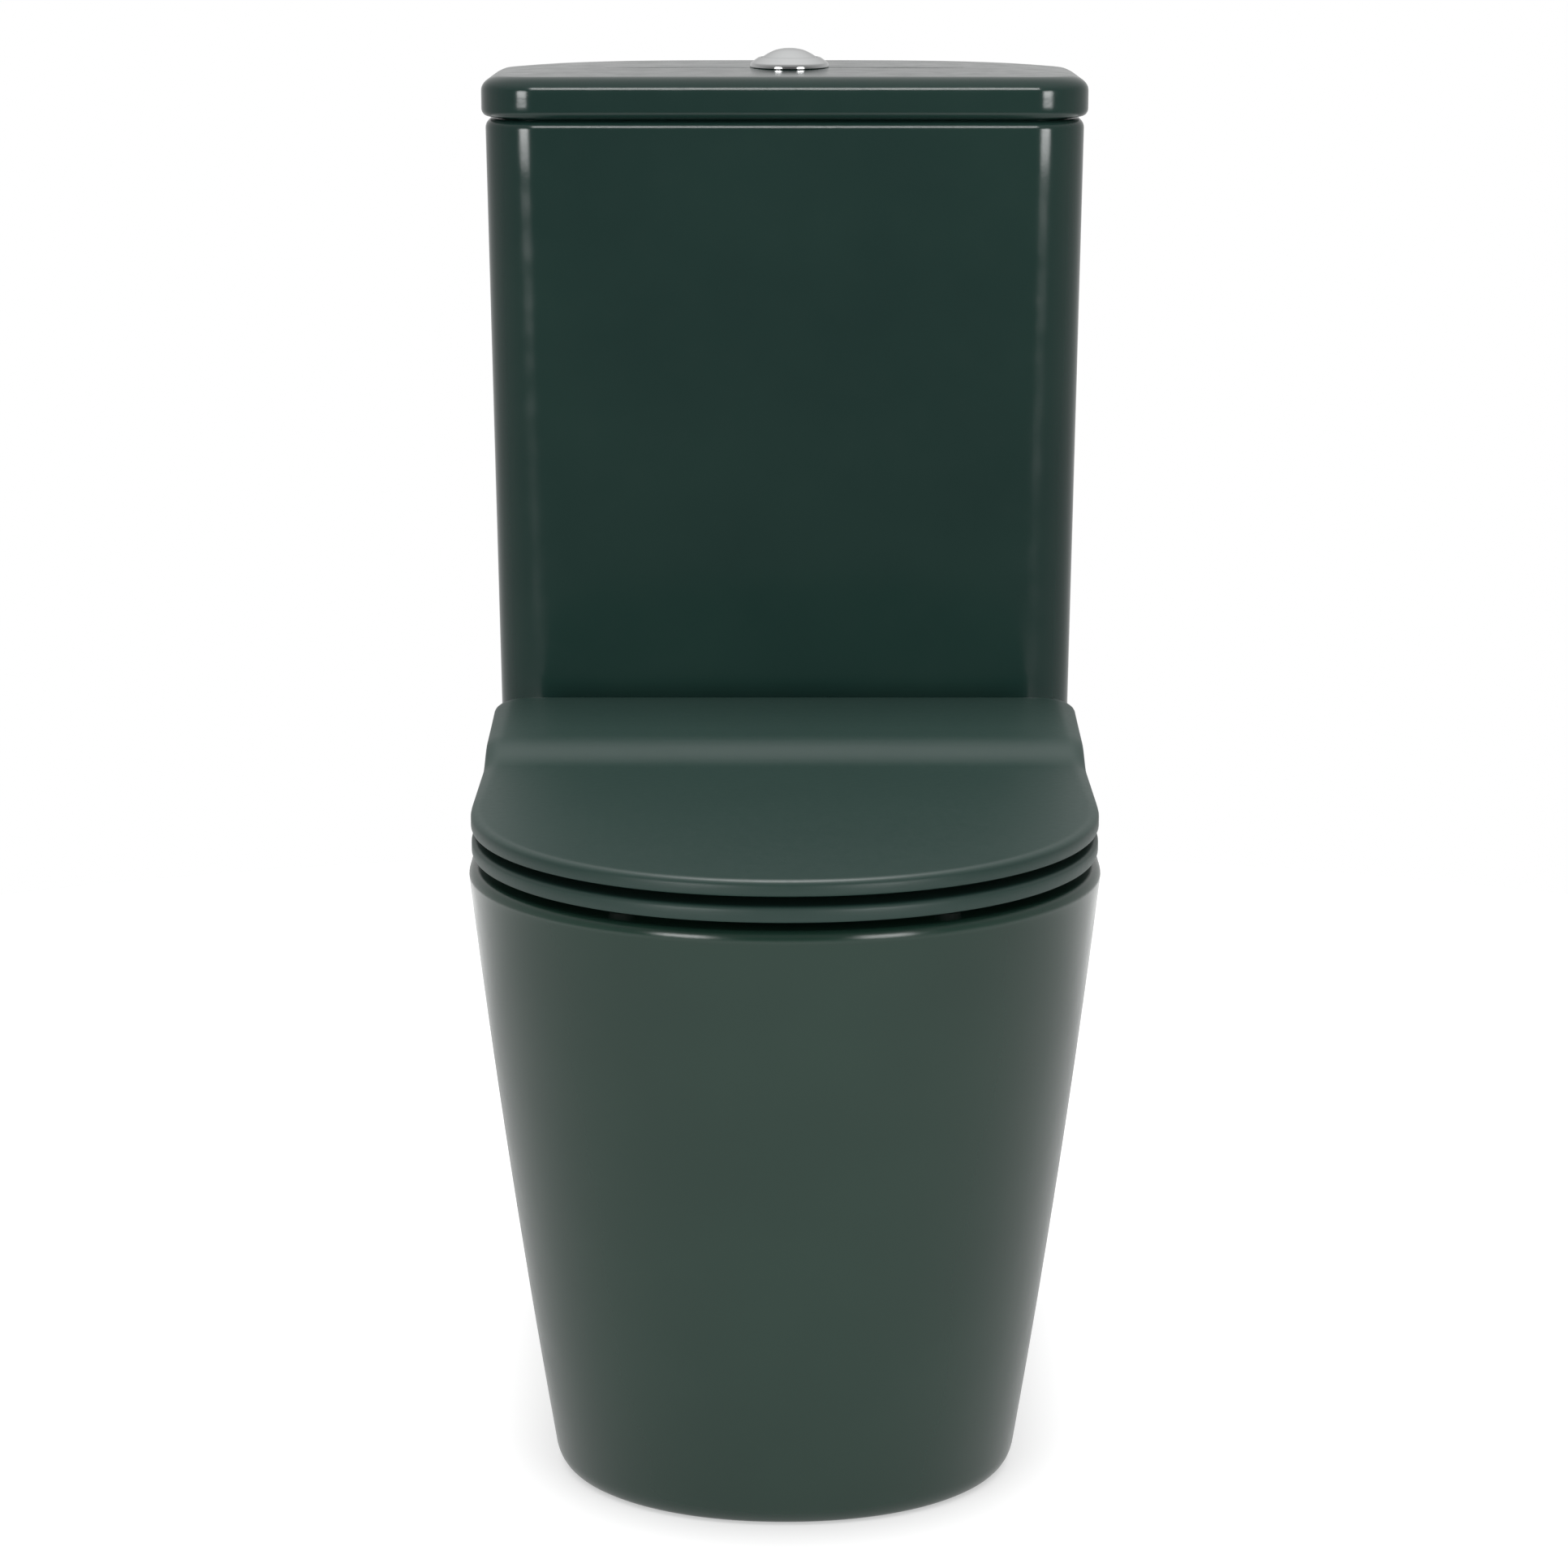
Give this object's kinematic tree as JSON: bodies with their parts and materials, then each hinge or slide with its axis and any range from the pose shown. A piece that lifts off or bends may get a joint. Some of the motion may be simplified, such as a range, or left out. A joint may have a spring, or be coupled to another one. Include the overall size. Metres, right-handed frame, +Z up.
{
  "type": "close coupled toilet",
  "caption": "Shrouded back-to-wall close coupled toilet: pan, cistern with split push button, hinged seat ring and lid, and the flush and fill valves inside.",
  "frame": {"origin": "on the floor under the middle of the whole object's box", "axes": "+Z up, +Y towards the wall, the user faces -Y when seated, +X to the right seen from the front"},
  "size_m": [0.385, 0.62, 0.8495],
  "materials": {
    "green_china": "dark green glaze, satin gloss",
    "green_duroplast": "dark green duroplast, satin",
    "chrome_plate": "bright chrome",
    "steel": "stainless, plain",
    "brass": "plain brass",
    "rubber": "black, matt",
    "white_plastic": "moulded white",
    "blue_plastic": "moulded blue",
    "grey_rubber": "soft grey"
  },
  "bodies": {
    "root": {"pan": "green_china", "cistern": "green_china", "cistern_lid": "green_china", "button_bezel": "chrome_plate", "hinge_post_left": "steel", "hinge_post_right": "steel", "side_cap_left": "chrome_plate", "side_cap_right": "chrome_plate", "hinge_pin_left": "steel", "hinge_pin_right": "steel", "hinge_bolt_left": "steel", "hinge_bolt_right": "steel", "side_screw_left": "steel", "side_screw_right": "steel", "floor_bracket_left": "steel", "floor_bracket_right": "steel", "coupling_bolt_left": "brass", "coupling_bolt_right": "brass", "coupling_wingnut_left": "brass", "coupling_wingnut_right": "brass", "coupling_gasket": "rubber", "coupling_washer_left": "rubber", "coupling_washer_right": "rubber", "flush_valve_washer": "rubber", "fill_valve_washer": "rubber", "hinge_plug_left": "rubber", "hinge_plug_right": "rubber", "flush_valve_base": "white_plastic", "flush_valve_backnut": "white_plastic", "flush_valve_cage": "white_plastic", "button_sleeve_nut": "white_plastic", "fill_valve_body": "white_plastic", "fill_valve_backnut": "white_plastic"},
    "seat_ring_body": {"seat_ring": "green_duroplast", "ring_buffer_front_left": "grey_rubber", "ring_buffer_front_right": "grey_rubber", "ring_buffer_rear_left": "grey_rubber", "ring_buffer_rear_right": "grey_rubber", "ring_damper": "white_plastic", "ring_bush": "white_plastic"},
    "seat_lid_body": {"seat_lid": "green_duroplast", "lid_buffer_left": "grey_rubber", "lid_buffer_right": "grey_rubber", "lid_damper": "white_plastic", "lid_bush": "white_plastic"},
    "full_button_body": {"full_flush_button": "chrome_plate", "full_flush_rod": "white_plastic", "full_flush_spring": "steel"},
    "half_button_body": {"half_flush_button": "chrome_plate", "half_flush_rod": "white_plastic", "half_flush_spring": "steel"},
    "flush_tube_body": {"flush_tube": "blue_plastic", "flush_seal": "rubber", "flush_float": "white_plastic"},
    "full_rocker_body": {"full_flush_rocker": "blue_plastic"},
    "half_rocker_body": {"half_flush_rocker": "blue_plastic"},
    "fill_float_body": {"fill_float": "white_plastic", "float_link_rod": "white_plastic"},
    "fill_lever_body": {"fill_valve_lever": "blue_plastic"}
  },
  "joints": [
    {"name": "seat_ring_hinge", "type": "hinge", "parent": "root", "child": "seat_ring_body", "pos_m": [0, 0.098, 0.4275], "axis": [-1, 0, 0], "range_deg": [0, 95]},
    {"name": "seat_lid_hinge", "type": "hinge", "parent": "seat_ring_body", "child": "seat_lid_body", "pos_m": [0, 0.098, 0.4275], "axis": [1, 0, 0], "range_deg": [-95, 0]},
    {"name": "full_flush_press", "type": "slide", "parent": "root", "child": "full_button_body", "axis": [0, 0, -1], "range_m": [0, 0.007], "stiffness_N_per_m": 400, "springref_m": -0.004, "deforming": ["full_flush_spring"]},
    {"name": "half_flush_press", "type": "slide", "parent": "root", "child": "half_button_body", "axis": [0, 0, -1], "range_m": [0, 0.007], "stiffness_N_per_m": 400, "springref_m": -0.004, "deforming": ["half_flush_spring"]},
    {"name": "fill_float_drop", "type": "slide", "parent": "root", "child": "fill_float_body", "axis": [0, 0, -1], "range_m": [0, 0.012], "stiffness_N_per_m": 300, "springref_m": -0.006},
    {"name": "flush_tube_lift", "type": "slide", "parent": "root", "child": "flush_tube_body", "axis": [0, 0, 1], "range_m": [0, 0.0141]},
    {"name": "full_rocker_turn", "type": "hinge", "parent": "root", "child": "full_rocker_body", "pos_m": [-0.006, 0.2455, 0.668], "axis": [0, 1, 0], "range_deg": [0, 36.9]},
    {"name": "half_rocker_turn", "type": "hinge", "parent": "root", "child": "half_rocker_body", "pos_m": [-0.006, 0.2205, 0.668], "axis": [0, 1, 0], "range_deg": [0, 36.9]},
    {"name": "fill_lever_turn", "type": "hinge", "parent": "root", "child": "fill_lever_body", "pos_m": [-0.141, 0.235, 0.7335], "axis": [0, 1, 0], "range_deg": [0, 23.2]}
  ],
  "couplings": [
    {"joint": "flush_tube_lift", "follows": "full_flush_press", "ratio": 2},
    {"joint": "full_rocker_turn", "follows": "full_flush_press", "rad_per_m": 90.909},
    {"joint": "half_rocker_turn", "follows": "half_flush_press", "rad_per_m": 90.909},
    {"joint": "fill_lever_turn", "follows": "fill_float_drop", "rad_per_m": 33.333}
  ]
}
